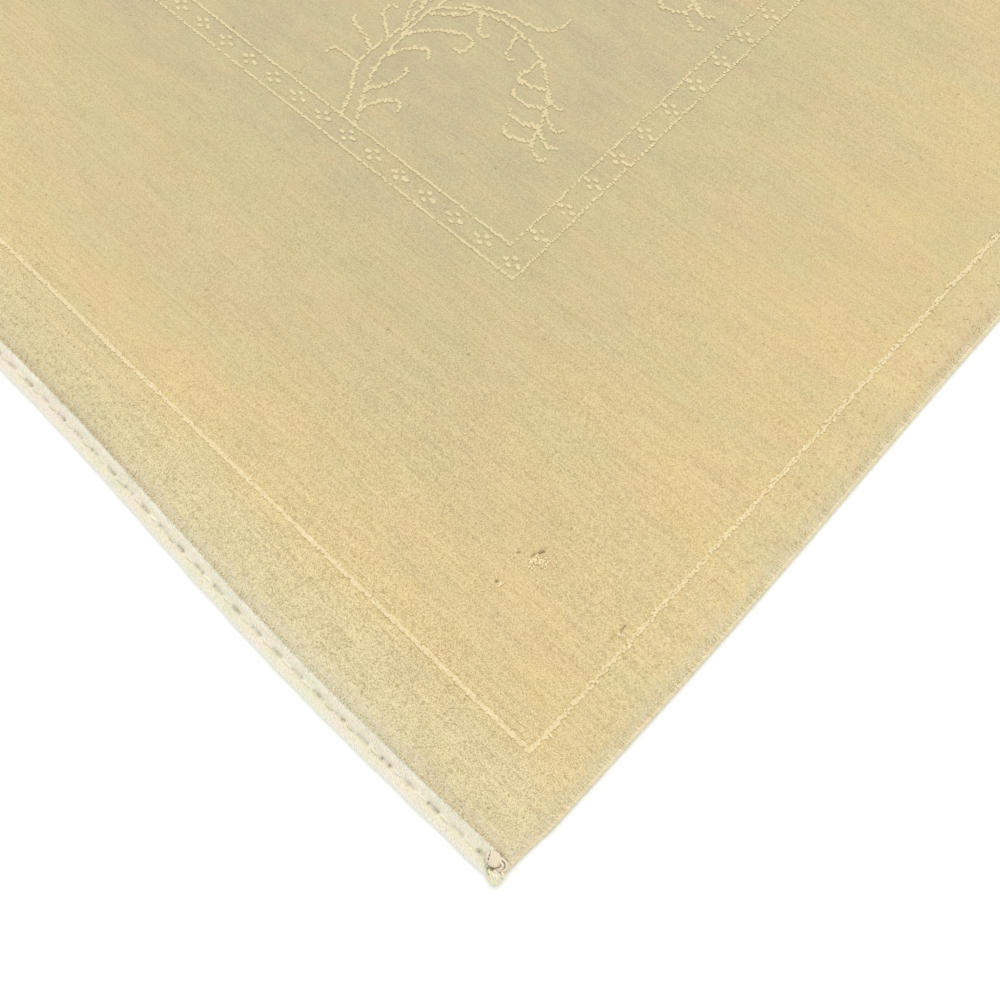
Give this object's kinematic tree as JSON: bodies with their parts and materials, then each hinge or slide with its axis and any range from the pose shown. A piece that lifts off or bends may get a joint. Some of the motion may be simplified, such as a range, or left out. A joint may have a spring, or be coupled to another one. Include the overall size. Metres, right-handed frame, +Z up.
{
  "type": "gabbeh rug",
  "caption": "Flat rectangular hand-knotted wool rug with overcast side cords, folded flat-woven ends and a tied knot at each corner.",
  "frame": {"origin": "on the floor under the middle of the rug", "axes": "+X across the rug with the weft, +Y along the rug with the warp, from the end the tree grows from, +Z up out of the pile"},
  "size_m": [1.22, 1.83, 0.0119],
  "materials": {
    "wool_pile": "short cut wool pile, undyed straw and camel tones",
    "flat_weave": "flat-woven cream cotton and wool, folded and stitched",
    "side_yarn": "overcast wool yarn, pale greenish straw",
    "knot_yarn": "knotted cream cotton thread"
  },
  "bodies": {
    "root": {"pile_body": "wool_pile", "end_binding_near": "flat_weave", "end_binding_far": "flat_weave", "selvage_right": "side_yarn", "selvage_left": "side_yarn", "corner_knot_near_right": "knot_yarn", "corner_knot_near_left": "knot_yarn", "corner_knot_far_right": "knot_yarn", "corner_knot_far_left": "knot_yarn"}
  },
  "joints": []
}
